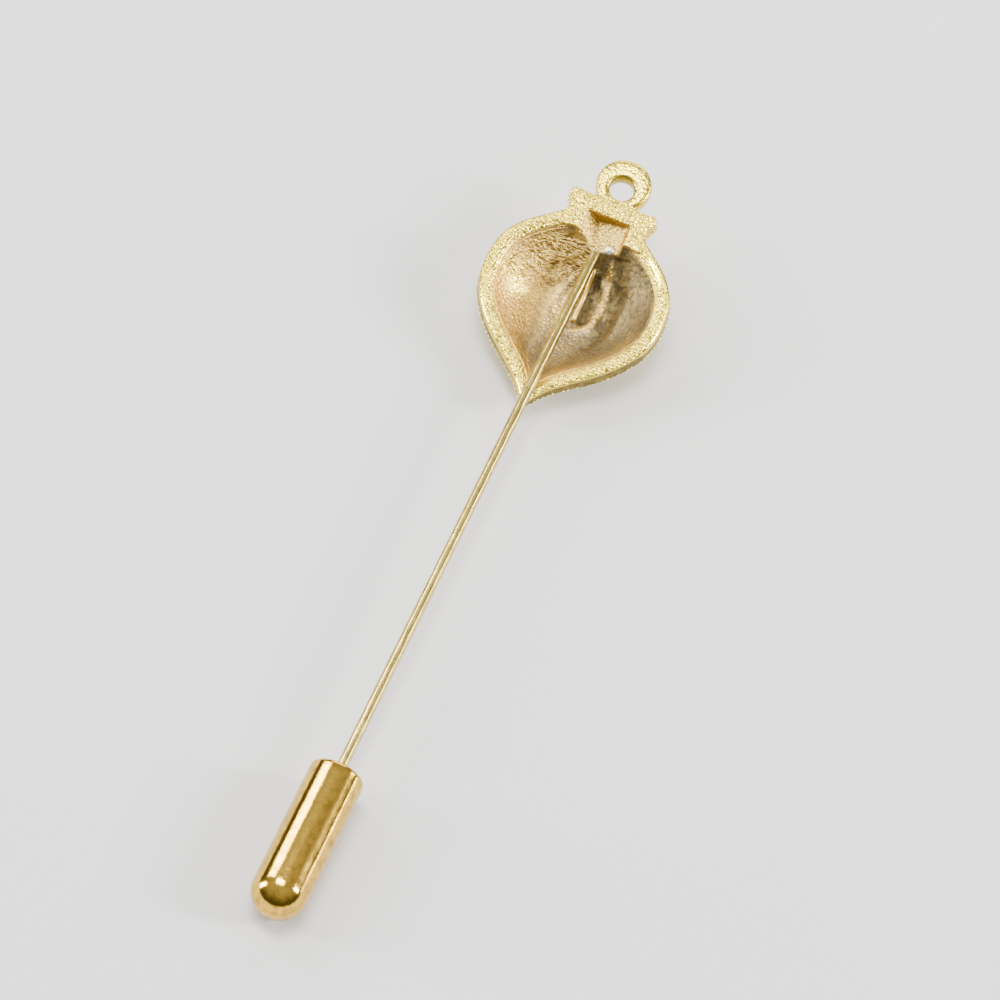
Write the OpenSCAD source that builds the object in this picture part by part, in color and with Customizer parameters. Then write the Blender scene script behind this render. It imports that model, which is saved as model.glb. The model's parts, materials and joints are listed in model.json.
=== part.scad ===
// Cast stick pin: a hollow-backed onion drop with a loop, a soldered wire stem and a bullet clutch.
// It lies face down, with its loop towards +Y and its clutch towards -Y.

/* [Drop] */
// Width of the drop at its widest place
drop_w = 15.1; // [13:0.1:18]
// Length of the drop from its tip to its shoulder
drop_len = 16.2; // [14.5:0.1:18]
// Depth of the drop from its flat back to its front
drop_deep = 4.5; // [4:0.1:5.5]
// Least thickness of metal behind the hollow
wall = 1.15; // [0.8:0.05:1.4]
// Width of the flat rim round the hollow
rim_w = 1.2; // [0.9:0.05:1.5]
// Height of the drop's side below its flat back
side_h = 1.4; // [1.2:0.05:1.9]
// Share of that height that is left at the tip
tip_share = 0.6; // [0.5:0.05:1]
// Radius of the rim's rounded outer edge
edge_r = 0.28; // [0.1:0.02:0.4]
// How far the beaded line round the front stands out
bead_out = 0.12; // [0.05:0.01:0.2]
// Depth of the petals in the hollow and height of those on the front
petal_deep = 0.34; // [0.1:0.02:0.5]
// Radius of the straight rib in the hollow
rib_r = 0.17; // [0.1:0.01:0.25]

/* [Neck] */
// Width of the collar between its two points
collar_w = 7.4; // [6.5:0.1:9]
// Length of the neck from the shoulder to the top of the collar
neck_len = 2.95; // [2.5:0.05:3.4]
// Radius of the collar's rounded top edge
cap_edge = 0.5; // [0.2:0.05:0.7]
// Width of the recess in the neck
recess_w = 3.9; // [3:0.1:4.4]
// Depth of the recess at the upper left of its floor
recess_deep = 1.2; // [0.9:0.05:1.35]
// How much shallower the recess is at its upper right
recess_tilt = 0.5; // [0:0.05:0.6]
// How much shallower the recess is at its lip
recess_slope = 0.2; // [0:0.05:0.4]
// Metal between the recess and the top of the collar
recess_cap = 1.65; // [1.3:0.05:2]
// How far the left wall of the recess leans in at its upper end
lean_top = 1.25; // [0:0.05:1.5]
// How far the left wall of the recess leans in at the lip
lean_lip = 1.8; // [0:0.05:2]
// How far the right wall of the recess leans in
lean_right = 0.2; // [0:0.05:0.6]

/* [Loop] */
// Outer diameter of the loop
loop_d = 4.5; // [3.9:0.1:5.4]
// Diameter of the hole in the loop
loop_hole = 1.95; // [1.7:0.05:2.4]
// How much higher the loop's outer circle lies than its hole
loop_high = 0.45; // [0:0.05:0.5]
// Thickness of the loop
loop_t = 1.3; // [1:0.1:1.7]
// Radius of the loop's rounded edges
loop_edge = 0.35; // [0.1:0.05:0.45]
// How far the loop lies below the drop's flat back
loop_drop = 0.2; // [0.1:0.05:0.5]
// How far the loop's hole stands clear of the collar
loop_gap = 0.3; // [0.2:0.05:0.5]
// Radius of the small casting nub on the loop
nub_r = 0.3; // [0.2:0.05:0.4]

/* [Stem] */
// Diameter of the drawn wire
stem_d = 0.82; // [0.7:0.02:0.9]
// How much thicker the wire is at its soldered end
stem_swell = 0.05; // [0.02:0.01:0.1]
// Length of the wire from its soldered end to the clutch
stem_free = 50.8; // [40:0.1:60]
// Length of the wire inside the clutch
stem_in = 9.4; // [8:0.1:10]
// Length of the sharpened point
point_len = 2.6; // [1.5:0.1:4]
// Depth of the wire's axis below the drop's flat back at its soldered end
stem_sunk = 1.4; // [1.2:0.05:1.6]
// Place of the wire's soldered end below the shoulder
root_down = 1.3; // [1:0.05:1.6]
// Angle between the wire and the drop's flat back
stem_rise = 9; // [8:0.5:12]
// How far the wire lies beside the drop's middle line
stem_side = 0.12; // [0:0.02:0.3]
// Length of wire that is sunk in the neck
stem_sunk_len = 0.4; // [0.3:0.05:0.5]
// Radius of the solder round the wire's end
solder_r = 0.52; // [0.5:0.01:0.6]
// Radius of the drop of solder on the lip
solder_drop_r = 0.36; // [0.2:0.02:0.5]
// How far the drop of solder lies beside the middle line
solder_side = 1.1; // [0.8:0.05:1.4]

/* [Clutch] */
// Diameter of the clutch
clutch_d = 4.2; // [3.8:0.1:5.2]
// Length of the clutch
clutch_len = 12.4; // [12:0.1:14.5]
// Radius of the clutch's shoulder at its flat end
shoulder_r = 0.4; // [0.2:0.05:0.6]
// Radial clearance between the wire and the clutch's bore
bore_gap = 0.05; // [0.02:0.01:0.09]
// Depth of bore left past the wire's point
bore_spare = 0.6; // [0.3:0.1:1]
// Depth and extra radius of the bore's countersunk mouth
mouth = 0.35; // [0.2:0.05:0.5]

/* [Hidden] */
$fn = 64;

// The drop's frame has its origin on the middle line at the shoulder, on the flat back, with the tip
// towards -Y, the loop towards +Y and the hollow open towards +Z.

// Half of the drop, from its tip to its shoulder: share of the length, share of the half width and
// share of the front's depth
DROP_ROWS = [
  [0.000, 0.000, 0.00], [0.022, 0.052, 0.05], [0.100, 0.172, 0.22], [0.200, 0.408, 0.44],
  [0.300, 0.648, 0.65], [0.400, 0.828, 0.82], [0.500, 0.946, 0.94], [0.600, 0.992, 1.00],
  [0.700, 0.990, 0.99], [0.800, 0.944, 0.92], [0.900, 0.810, 0.78], [1.000, 0.562, 0.58]
];
// Half of the neck and collar: share of the neck's length, share of the collar's half width and
// share of the front's depth
NECK_ROWS = [
  [0.20, 0.960, 0.47], [0.37, 0.885, 0.42], [0.60, 0.925, 0.50], [0.82, 1.000, 0.56], [1.00, 0.920, 0.50]
];
// Points that the curve gets between two rows, and that the collar's straight top has on each side
ROW_STEPS = 3;
TOP_STEPS = 4;

// Petals of the relief, on either side: angle from the middle line, half angle, length as a share of
// the drop's length, share of the petals' depth
PETALS = [[14, 8.5, 0.35, 1.0], [33, 9.5, 0.42, 0.8], [56, 11, 0.36, 0.5]];
// The petals start within this share of their length, and this power rounds their ends off.
petal_start = 0.2;
petal_end = 4;
// The rib in the hollow lies this far right of the middle line, between these shares of the drop's
// length from the shoulder. It has this many stations and sides.
rib_side = 0.55;
RIB_SPAN = [0.15, 0.424];
rib_stations = 9;
rib_sides = 8;

// Rings of the hollow and of the front, as shares of the way from the petals' root to the edge
SHARES = [0.05, 0.12, 0.2, 0.29, 0.38, 0.47, 0.56, 0.65, 0.74, 0.82, 0.89, 0.95, 0.98];
// The rim's rounded edge, out and up in shares of its radius, then the beaded line, out and up in
// multiples of its height
EDGE = [[-1, 0], [-0.3, -0.3], [0, -1]];
BEAD = [[0, 3], [1, 2], [1, 1], [0, 0]];
// Powers that shape the hollow's curve, and the front's curve across
BOWL = [2.4, 0.77];
front_power = 0.55;

drop_r = drop_w / 2;
collar_r = collar_w / 2;
clutch_r = clutch_d / 2;
stem_r = stem_d / 2;
hollow_deep = drop_deep - wall;
// Middle of the hollow, and the root that the petals spread from
middle_share = 0.395;
hub_down = 0.4;
middle = [0, -middle_share * drop_len];
hub = [0, -root_down - hub_down];
// Share that the rim takes of the way to the middle
rim_share = rim_w / drop_r;
// The lip of the recess dips by this share of the way to the middle, and is this many degrees wide
// to each side.
lip_dip = 0.13;
lip_half = 22;
// The walls of the recess start to lean this far above the flat back.
lean_from = 0.05;
// Share of the drop's length over which its side gets lower towards the tip
tip_reach = 0.25;
// The wire is straight and even from just past the drop's tip to just before the clutch.
tip_gap = 1.4;
clutch_gap = 0.3;
grip_start = drop_len - root_down + tip_gap;
// The wire narrows by this much inside the clutch, and ends in a point this wide.
slim = 0.02;
point_r = 0.05;
// Place of the nub round the loop, from the top to the right, and step of the loop's rounded edges
nub_turn = 30;
arc_step = 22.5;

function mix(a, b, t) = a + (b - a) * t;
function curve(a, b, c, d, t) =
  0.5 * (2 * b + (c - a) * t + (2 * a - 5 * b + 4 * c - d) * t * t + (3 * b - a - 3 * c + d) * t * t * t);
function at(rows, i) = rows[max(0, min(len(rows) - 1, i))];
function smooth_row(rows, steps) = [
  for (i = [0:len(rows) - 2])
    for (k = [0:steps - 1])
      curve(at(rows, i - 1), at(rows, i), at(rows, i + 1), at(rows, i + 2), k / steps)
];
function mirrored(line) = concat(line, [for (i = [len(line) - 2:-1:1]) [-line[i][0], line[i][1]]]);

// Half outline, from the tip round to the middle of the collar's top
half_rows = concat(
  [for (r = DROP_ROWS) [r[1] * drop_r, (r[0] - 1) * drop_len, r[2]]],
  [for (r = NECK_ROWS) [r[1] * collar_r, r[0] * neck_len, r[2]]]
);
corner = half_rows[len(half_rows) - 1];
side_rows = concat(smooth_row(half_rows, ROW_STEPS), [corner]);
half = concat(
  [for (p = side_rows) [max(0, p[0]), p[1]]],
  [for (k = [1:TOP_STEPS]) [corner[0] * (1 - k / TOP_STEPS), corner[1]]]
);
outline = mirrored(half);
count = len(outline);
last_half = len(half) - 1;

function unit(v) = v / norm(v);
function outward(i) =
  let (before = unit(outline[i] - outline[(i + count - 1) % count]))
  let (after = unit(outline[(i + 1) % count] - outline[i]))
  let (d = unit(before + after))
  [d[1], -d[0]];

// Inner edge of the rim: the drop's outline drawn in to the middle, then across below the neck, with
// a dip at the lip
shoulder_i = (len(DROP_ROWS) - 1) * ROW_STEPS;
shoulder = half[shoulder_i] - middle;
shoulder_turn = atan2(shoulder[0], shoulder[1]);
function lip_point(i) =
  let (turn = shoulder_turn * (last_half - i) / (last_half - shoulder_i))
  let (dip = lip_dip * cos(90 * min(1, turn / lip_half)))
  middle + norm(shoulder) * (1 - rim_share) * (1 - dip) * [sin(turn), cos(turn)];
half_inner = [
  for (i = [0:last_half]) i < shoulder_i ? middle + (1 - rim_share) * (half[i] - middle) : lip_point(i)
];
inner_outline = mirrored(half_inner);

// Petals: 0 between them and up to 1 along their middle
function petal(p, row) =
  let (a = atan2(abs(p[0]), hub[1] - p[1]), d = norm(p - hub) / (row[2] * drop_len))
  let (across = abs(a - row[0]) / row[1])
  across < 1 && d < 1 ? row[3] * cos(90 * across) * (1 - pow(d, petal_end)) * min(1, d / petal_start) : 0;
function relief(p) = petal_deep * max([for (row = PETALS) petal(p, row)]);

// Share of the way from the rim's inner edge to the hollow's middle
reach_at = [
  for (i = [last_half:-1:0])
    let (d = half_inner[i] - middle)
    [atan2(d[0], d[1]), norm(d)]
];
function way_in(p) =
  let (d = p - middle)
  max(0, 1 - norm(d) / lookup(atan2(abs(d[0]), d[1]), reach_at));
function hollow_z(p) =
  -(hollow_deep - petal_deep) * pow(1 - pow(1 - way_in(p), BOWL[0]), BOWL[1]) - relief(p);

// Height of the side, which is less at the tip
function side_z(y) = -side_h * mix(tip_share, 1, min(1, (y + drop_len) / (tip_reach * drop_len)));
// The front is round across, as deep as the rows say along its middle line
least_w = 0.01;
width_at = [for (r = side_rows) [r[1], max(least_w, r[0])]];
depth_at = [for (r = side_rows) [r[1], r[2]]];
function front_z(p) =
  let (across = min(1, abs(p[0]) / lookup(p[1], width_at)))
  let (belly = (drop_deep - petal_deep - side_h) * lookup(p[1], depth_at))
  side_z(p[1]) - belly * pow(1 - across * across, front_power) - relief(p);

// The rim's rounded edge is this small at the very tip, and grows by this share of the half width.
tip_edge = 0.06;
edge_grow = 0.4;
function edge_at(i) =
  abs(i - last_half) < TOP_STEPS ? cap_edge : min(edge_r, tip_edge + edge_grow * abs(outline[i][0]));
hollow_rings = [
  for (s = SHARES)
    [for (p = inner_outline) let (q = mix(hub, p, s)) concat(q, [hollow_z(q)])]
];
edge_rings = [
  for (e = EDGE)
    [for (i = [0:count - 1]) concat(outline[i] + e[0] * edge_at(i) * outward(i), [e[1] * edge_at(i)])]
];
bead_rings = [
  for (b = BEAD)
    [
      for (i = [0:count - 1])
        concat(outline[i] + b[0] * bead_out * outward(i), [side_z(outline[i][1]) + b[1] * bead_out])
    ]
];
front_rings = [
  for (k = [len(SHARES) - 1:-1:0])
    [for (p = outline) let (q = mix(hub, p, SHARES[k])) concat(q, [front_z(q)])]
];
shell_rings = concat(
  hollow_rings, [[for (p = inner_outline) concat(p, [0])]], edge_rings, bead_rings, front_rings
);

// The pin's frame has the wire along Y, with its soldered end at the origin.
root = [stem_side, -root_down, -stem_sunk];
function into_pin(p) =
  let (y = p[1] - root[1], z = p[2] - root[2])
  [y * cos(stem_rise) - z * sin(stem_rise), y * sin(stem_rise) + z * cos(stem_rise)];
// The clutch's round nose and the drop's front both touch the surface that the pin lies on.
nose_y = -(stem_free + clutch_len - clutch_r);
function lean_over(p) =
  let (d = [p[0] - nose_y, p[1]])
  atan2(-d[1], d[0]) - asin(clutch_r / norm(d));
lean = max([for (r = front_rings) for (p = r) lean_over(into_pin(p))]);
lift = clutch_r - nose_y * sin(lean);
loop_y = neck_len + loop_gap + loop_hole / 2;
loop_top = into_pin([0, loop_y + loop_high + loop_d / 2, -loop_drop - loop_edge]);
y_low = nose_y * cos(lean) - clutch_r;
y_high = loop_top[0] * cos(lean) - loop_top[1] * sin(lean);

// Lays the pin's frame on the surface, centred over the origin
module laid() {
  translate([0, -(y_low + y_high) / 2, lift])
    rotate([lean, 0, 0])
      children();
}

// Places the drop's frame in the pin's frame
module on_stem() {
  rotate([stem_rise, 0, 0])
    translate([0, -root[1], -root[2]])
      children();
}

// Skin over rings of points, closed by a point at each end
function id(k, i, n) = 1 + k * n + i % n;
module skin(first, rings, last) {
  n = len(rings[0]);
  m = len(rings) - 1;
  points = concat([first], [for (r = rings) each r], [last]);
  faces = concat(
    [for (i = [0:n - 1]) [0, id(0, i + 1, n), id(0, i, n)]],
    [for (k = [0:m - 1]) for (i = [0:n - 1]) [id(k, i, n), id(k, i + 1, n), id(k + 1, i + 1, n)]],
    [for (k = [0:m - 1]) for (i = [0:n - 1]) [id(k, i, n), id(k + 1, i + 1, n), id(k + 1, i, n)]],
    [for (i = [0:n - 1]) [len(points) - 1, id(m, i, n), id(m, i + 1, n)]]
  );
  polyhedron(points = points, faces = faces, convexity = 6);
}

module drop_shell() {
  skin(concat(hub, [hollow_z(hub)]), shell_rings, concat(hub, [front_z(hub)]));
}

// Recess in the neck, with a sloping floor and leaning walls
module recess_cut() {
  r = recess_w / 2;
  high = neck_len - recess_cap;
  low = -root_down;
  lip_z = recess_slope - recess_deep;
  skin([0, (high + low) / 2, recess_deep], [
    [[-r, low, recess_deep], [r, low, recess_deep], [r, high, recess_deep], [-r, high, recess_deep]],
    [[-r, low, lean_from], [r, low, lean_from], [r, high, lean_from], [-r, high, lean_from]],
    [
      [lean_lip - r, low, lip_z], [r - lean_right, low, lip_z],
      [r - lean_right, high, recess_tilt - recess_deep], [lean_top - r, high, -recess_deep]
    ]
  ], [(lean_lip - lean_right) / 2, (high + low) / 2, lip_z]);
}

// Straight rib along the hollow's floor, right of the wire
module rib() {
  function floor_at(k) =
    let (y = -drop_len * mix(RIB_SPAN[0], RIB_SPAN[1], k / (rib_stations - 1)))
    [rib_side, y, hollow_z([rib_side, y])];
  skin(floor_at(0), [
    for (k = [0:rib_stations - 1])
      [
        for (i = [0:rib_sides - 1])
          floor_at(k) + rib_r * [-cos(360 * i / rib_sides), 0, sin(360 * i / rib_sides)]
      ]
  ], floor_at(rib_stations - 1));
}

// Flat disc with rounded edges, drilled below its middle
module loop_ring() {
  r = loop_hole / 2;
  out = loop_d / 2 - loop_edge;
  in = r + loop_edge;
  top = loop_t - loop_edge;
  translate([0, loop_y, -loop_drop - loop_t])
    difference() {
      translate([0, loop_high, 0])
        rotate_extrude()
          polygon(concat(
            [[0, 0]],
            [for (a = [0:arc_step:90]) [out + loop_edge * sin(a), loop_edge * (1 - cos(a))]],
            [for (a = [0:arc_step:90]) [out + loop_edge * cos(a), top + loop_edge * sin(a)]],
            [[0, loop_t]]
          ));
      rotate_extrude()
        polygon(concat(
          [[0, -loop_t], [in, -loop_t]],
          [for (a = [0:arc_step:90]) [in - loop_edge * sin(a), loop_edge * (1 - cos(a))]],
          [for (a = [0:arc_step:90]) [in - loop_edge * cos(a), top + loop_edge * sin(a)]],
          [[in, 2 * loop_t], [0, 2 * loop_t]]
        ));
    }
}

// Small nub that the casting left on the loop's upper right
module loop_nub() {
  out = loop_d / 2 - nub_r / 3;
  translate([out * sin(nub_turn), loop_y + loop_high + out * cos(nub_turn), -loop_drop - loop_t / 2])
    sphere(r = nub_r);
}

// Drop of solder on the lip, right of the wire
module solder_drop() {
  translate([solder_side, -root_down + solder_drop_r, recess_slope - recess_deep])
    sphere(r = solder_drop_r);
}

// Wire along -Y from the soldered end: swollen root, straight length, slim taper and point
module stem() {
  taper_start = stem_free - clutch_gap;
  point_start = stem_free + stem_in - point_len;
  slim_r = stem_r - slim;
  rotate([90, 0, 0]) {
    translate([0, 0, -stem_sunk_len])
      cylinder(h = grip_start + stem_sunk_len, r1 = stem_r + stem_swell / 2, r2 = stem_r);
    translate([0, 0, grip_start])
      cylinder(h = taper_start - grip_start, r = stem_r);
    translate([0, 0, taper_start])
      cylinder(h = point_start - taper_start, r1 = stem_r, r2 = slim_r);
    translate([0, 0, point_start])
      cylinder(h = point_len, r1 = slim_r, r2 = point_r);
  }
}

module ornament() {
  color("goldenrod")
    laid() {
      translate([stem_side, 0, 0]) {
        stem();
        translate([0, stem_sunk_len / 2, 0])
          sphere(r = solder_r);
      }
      on_stem() {
        difference() {
          drop_shell();
          recess_cut();
        }
        rib();
        loop_ring();
        loop_nub();
        solder_drop();
      }
    }
}

// Bullet clutch: flat end with a small shoulder, round nose, blind countersunk bore
module clutch() {
  bore_r = stem_r + bore_gap;
  bore_len = stem_in + bore_spare;
  color("gold")
    laid()
      translate([stem_side, -stem_free, 0])
        rotate([90, 0, 0])
          difference() {
            union() {
              cylinder(h = shoulder_r, r = clutch_r - shoulder_r);
              rotate_extrude()
                translate([clutch_r - shoulder_r, shoulder_r])
                  circle(r = shoulder_r);
              translate([0, 0, shoulder_r])
                cylinder(h = clutch_len - clutch_r - shoulder_r, r = clutch_r);
              translate([0, 0, clutch_len - clutch_r])
                sphere(r = clutch_r);
            }
            translate([0, 0, -mouth])
              cylinder(h = bore_len + mouth, r = bore_r);
            translate([0, 0, -mouth])
              cylinder(h = 2 * mouth, r1 = bore_r + 2 * mouth, r2 = bore_r);
          }
}

ornament();
clutch();
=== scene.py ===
import json
import math
import random
from collections import namedtuple

import bpy
import numpy as np
from mathutils import Matrix, Vector

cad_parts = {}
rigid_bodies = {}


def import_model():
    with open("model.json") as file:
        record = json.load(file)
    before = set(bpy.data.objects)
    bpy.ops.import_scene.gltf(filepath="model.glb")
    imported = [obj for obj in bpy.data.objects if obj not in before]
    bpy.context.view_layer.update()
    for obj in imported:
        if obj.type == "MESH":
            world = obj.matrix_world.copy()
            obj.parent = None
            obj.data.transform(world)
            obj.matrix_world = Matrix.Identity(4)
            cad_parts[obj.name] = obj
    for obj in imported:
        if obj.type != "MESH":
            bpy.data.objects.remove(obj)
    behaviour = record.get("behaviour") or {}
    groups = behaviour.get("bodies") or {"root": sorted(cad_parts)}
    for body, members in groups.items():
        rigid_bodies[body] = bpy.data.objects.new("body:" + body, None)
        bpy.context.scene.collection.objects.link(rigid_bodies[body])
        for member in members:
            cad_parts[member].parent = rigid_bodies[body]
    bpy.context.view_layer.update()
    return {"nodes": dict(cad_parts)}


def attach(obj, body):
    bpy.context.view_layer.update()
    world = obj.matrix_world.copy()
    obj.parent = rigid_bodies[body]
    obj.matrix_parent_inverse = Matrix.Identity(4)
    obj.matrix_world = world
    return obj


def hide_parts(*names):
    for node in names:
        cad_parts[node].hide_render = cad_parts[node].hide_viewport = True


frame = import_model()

bl_info = {
    "name": "Stick pin dressing",
    "version": (1, 0, 0),
    "blender": (4, 5, 0),
    "location": "View3D > Sidebar > Stick pin",
    "description": "Cast drop, drawn wire and polished clutch on the packed frame of a stick pin",
    "category": "Object",
}

MM = 0.001

# Sizes that the part's source has or works out too, in millimetres and degrees
LEAN = 1.60111
LIFT = 3.8072
SHIFT_Y = 27.62395
STEM_RISE = 9.0
STEM_SIDE = 0.12
STEM_SUNK = 1.4
ROOT_DOWN = 1.3
STEM_FREE = 50.8
STEM_IN = 9.4
POINT_LEN = 2.6
BORE_R = 0.46
BORE_DEPTH = 10.0
BORE_MOUTH = 0.35
DROP_R = 7.55
DROP_LEN = 16.2
COLLAR_R = 3.7
NECK_LEN = 2.95
SIDE_H = 1.4
TIP_SHARE = 0.6
TIP_REACH = 0.25
RIM_SHARE = 1.2 / DROP_R
MIDDLE_Y = -0.395 * DROP_LEN
LIP_DIP = 0.13
LIP_HALF = 22
LOOP_Y = 4.225

# Half of the outline, from the tip to the shoulder and on to the collar's top: columns are the share
# of the length and the share of the half width.
DROP_ROWS = [
    (0.000, 0.000), (0.022, 0.052), (0.100, 0.172), (0.200, 0.408), (0.300, 0.648), (0.400, 0.828),
    (0.500, 0.946), (0.600, 0.992), (0.700, 0.990), (0.800, 0.944), (0.900, 0.810), (1.000, 0.562),
]
NECK_ROWS = [(0.20, 0.960), (0.37, 0.885), (0.60, 0.925), (0.82, 1.000), (1.00, 0.920)]
OUTLINE_STEPS = 3

# Place of the recess in the neck, in the drop's own frame
RECESS_SIDE = 2.05
RECESS_LIP = (-1.25, -1.0)
RECESS_TOP = 1.4
RECESS_FLOOR = -1.5

# The wire is cut off the copied casting from this far along it, and this far round its middle.
CUT_FROM = 0.3
CUT_R = 0.49

# The drop's own frame has its origin at the middle of its shoulder line, on its flat back.
PIN = Matrix.Translation((0, SHIFT_Y, LIFT)) @ Matrix.Rotation(math.radians(LEAN), 4, "X")
DROP = (
    PIN
    @ Matrix.Rotation(math.radians(STEM_RISE), 4, "X")
    @ Matrix.Translation((0, ROOT_DOWN, STEM_SUNK))
)

# Lines on the drop, in its own frame: columns are x, y and half width.
POCKET = [(1.1, -2.9, 0.4), (1.24, -3.6, 0.7), (1.27, -4.5, 0.8), (1.25, -5.4, 0.85), (1.15, -6.5, 0.7)]
MIDDLE_RIDGE = [
    (1.68, -1.7, 0.3), (1.84, -2.4, 0.4), (2.05, -3.4, 0.5), (2.18, -4.4, 0.55), (2.2, -5.5, 0.6),
    (2.06, -6.4, 0.55), (1.64, -7.1, 0.5), (1.1, -7.5, 0.45), (0.6, -7.8, 0.3),
]
NECK_SHADE = [(1.0, -1.4, 0.4), (0.95, -2.3, 0.4)]
GROOVE_START = [(1.8, -0.9, 0.6), (2.44, -1.4, 0.75), (2.84, -2.4, 0.85)]
GROOVE_SHADE = GROOVE_START + [(3.06, -3.5, 0.8), (3.1, -4.8, 0.5)]
RIGHT_GROOVE = GROOVE_START + [
    (3.06, -3.5, 0.9), (3.1, -4.6, 1.0), (3.06, -5.7, 1.0), (2.9, -7.3, 0.9), (2.4, -9.0, 0.6),
]
RIGHT_RIDGE = [(4.0, -3.2, 0.3), (3.95, -5.0, 0.4), (3.75, -7.0, 0.4)]
LEFT_VALLEY = [
    (-2.7, -2.0, 0.2), (-2.65, -3.2, 0.6), (-2.44, -4.8, 1.0), (-2.33, -6.5, 1.1), (-2.12, -8.0, 1.0),
    (-1.95, -9.7, 0.8), (-1.75, -11.2, 0.5),
]
# A polished patch of the hollow's left slope, which also partly takes the rim's brighter gold as a
# painted sheen
HOLLOW_SHINE = [(-5.5, -5.4, 1.6), (-4.3, -6.3, 1.6)]
RIM_SHINE = [(4.5, -0.9, 0.4), (5.1, -1.5, 0.6), (5.9, -2.5, 0.4)]

# Relief of the hollow: each stroke has its line, its height in millimetres and how much painted shade it
# gets. The shade is darkest in the pocket and grooves, and negative to lighten the middle ridge.
Stroke = namedtuple("Stroke", "line height tarnish")
STROKES = [
    Stroke(POCKET, -0.2, 1.3),
    Stroke(MIDDLE_RIDGE, 0.15, -0.6),
    Stroke(NECK_SHADE, 0, 0.6),
    Stroke(GROOVE_SHADE, 0, 0.9),
    Stroke(RIGHT_GROOVE, -0.2, 0.4),
    Stroke(RIGHT_RIDGE, 0.08, 0),
    Stroke(LEFT_VALLEY, -0.13, 0.55),
]

# Lamps in metres and watts, each facing the origin, with its first side along the given direction
Lamp = namedtuple("Lamp", "name place along size power")
LAMPS = [
    Lamp("window", (-0.52, 0.28, 0.45), (0.70, 0, 0.72), (0.36, 0.16), 3.6),
    Lamp("ceiling", (-0.09, 0.08, 0.80), (1, 0, 0), (0.40, 0.28), 8.5),
    Lamp("sheen", (0.63, 0.15, 0.33), (0, 1, 0), (0.10, 0.22), 7.5),
    Lamp("right", (0.60, 0.42, 0.30), (0, 0, 1), (0.22, 0.12), 2.0),
    Lamp("low_right", (0.80, 0.35, 0.03), (0, 0, 1), (0.04, 0.16), 0.5),
    Lamp("left", (-0.62, -0.15, 0.22), (0, 0, 1), (0.34, 0.14), 5.5),
    Lamp("back", (-0.08, 0.76, 0.34), (1, 0, 0), (0.60, 0.36), 4.5),
]

# Width of the camera's sensor in millimetres, and its lens as a multiple of that
SENSOR = 36
LENS_SHARE = 3.798


def prop_mm(name, text, value):
    return bpy.props.FloatProperty(
        name=name, description=text, default=value * MM, unit="LENGTH", precision=6
    )


def prop_angle(name, text, value):
    return bpy.props.FloatProperty(
        name=name, description=text, default=math.radians(value), unit="ROTATION"
    )


def prop_colour(name, text, value):
    return bpy.props.FloatVectorProperty(
        name=name, description=text, default=value, size=3, min=0, max=1, subtype="COLOR"
    )


def prop_share(name, text, value):
    return bpy.props.FloatProperty(
        name=name, description=text, default=value, min=0, max=1, subtype="FACTOR"
    )


class CastSettings(bpy.types.PropertyGroup):
    rim: prop_colour("Rim", "Colour of the cast rim, collar and loop", (0.96, 0.73, 0.06))
    hollow: prop_colour("Hollow", "Colour of the tarnished hollow", (0.88, 0.55, 0.125))
    floor: prop_colour("Hollow floor", "Greyer colour of the hollow's smooth middle", (0.17, 0.13, 0.09))
    # Colour of the painted highlights on the hollow's grains and on the tops of its wavy ridges
    dots: prop_colour("Bright dots", "Colour of the hollow's worn ridges and dots", (0.98, 0.70, 0.17))
    # Colour of the painted shade between the wavy ridges
    valley_shade: prop_colour("Valleys", "Brown colour between the wavy ridges", (0.34, 0.20, 0.075))
    recess: prop_colour("Recess", "Colour of the recess in the neck", (0.64, 0.43, 0.10))
    # Colour of the painted shade in the hollow's grooves, pocket and walls, the recess's walls and the
    # loop's hole, and of the painted dark reflection on the drop's side
    tarnish: prop_colour("Tarnish", "Colour of the grooves and the pocket", (0.075, 0.055, 0.03))
    deep: prop_colour("Grain pits", "Colour in the pits of the cast grain", (0.55, 0.40, 0.10))
    grain: prop_mm("Grain", "Width of a pebble of the cast grain", 0.3)
    voxel: prop_mm("Mesh step", "Edge length of the cast body's faces", 0.095)
    bead: prop_mm("Bead", "Radius of a bead on the line round the front", 0.15)
    bead_step: prop_mm("Bead step", "Distance between two beads", 0.42)


class WireSettings(bpy.types.PropertyGroup):
    colour: prop_colour("Wire", "Colour of the drawn wire", (0.62, 0.46, 0.12))
    radius: prop_mm("Wire radius", "Radius of the drawn wire", 0.41)
    swell: prop_mm("Root swell", "Extra radius at the soldered end", 0.025)


class ClutchSettings(bpy.types.PropertyGroup):
    colour: prop_colour("Clutch", "Colour of the polished clutch", (0.76, 0.46, 0.06))
    radius: prop_mm("Clutch radius", "Radius of the clutch", 2.1)
    length: prop_mm("Clutch length", "Length of the clutch", 12.4)
    shoulder: prop_mm("Shoulder", "Radius of the rounded edge at the flat end", 0.4)
    rough: prop_share("Roughness", "Roughness of the polish", 0.11)


class StageSettings(bpy.types.PropertyGroup):
    floor: prop_colour("Floor", "Colour of the plain floor", (0.68, 0.67, 0.655))
    sky: bpy.props.FloatProperty(
        name="Sky", description="Strength of the soft light overhead", default=0.7, min=0
    )
    azimuth: prop_angle("Azimuth", "Side that the camera looks from", 12)
    elevation: prop_angle("Elevation", "Height that the camera looks from", 57)
    roll: prop_angle("Roll", "Turn of the camera about its line of sight", -12.148)
    away: prop_mm("Distance", "Distance of the camera from its target", 288)
    target: bpy.props.FloatVectorProperty(
        name="Target", description="Point that the camera looks at",
        default=(0.001844, 0.0036305, 0.0025), size=3, subtype="TRANSLATION",
    )


# Hand tools


def clear_selection():
    if bpy.context.mode != "OBJECT":
        bpy.ops.object.mode_set(mode="OBJECT")
    bpy.ops.object.select_all(action="DESELECT")


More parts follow.
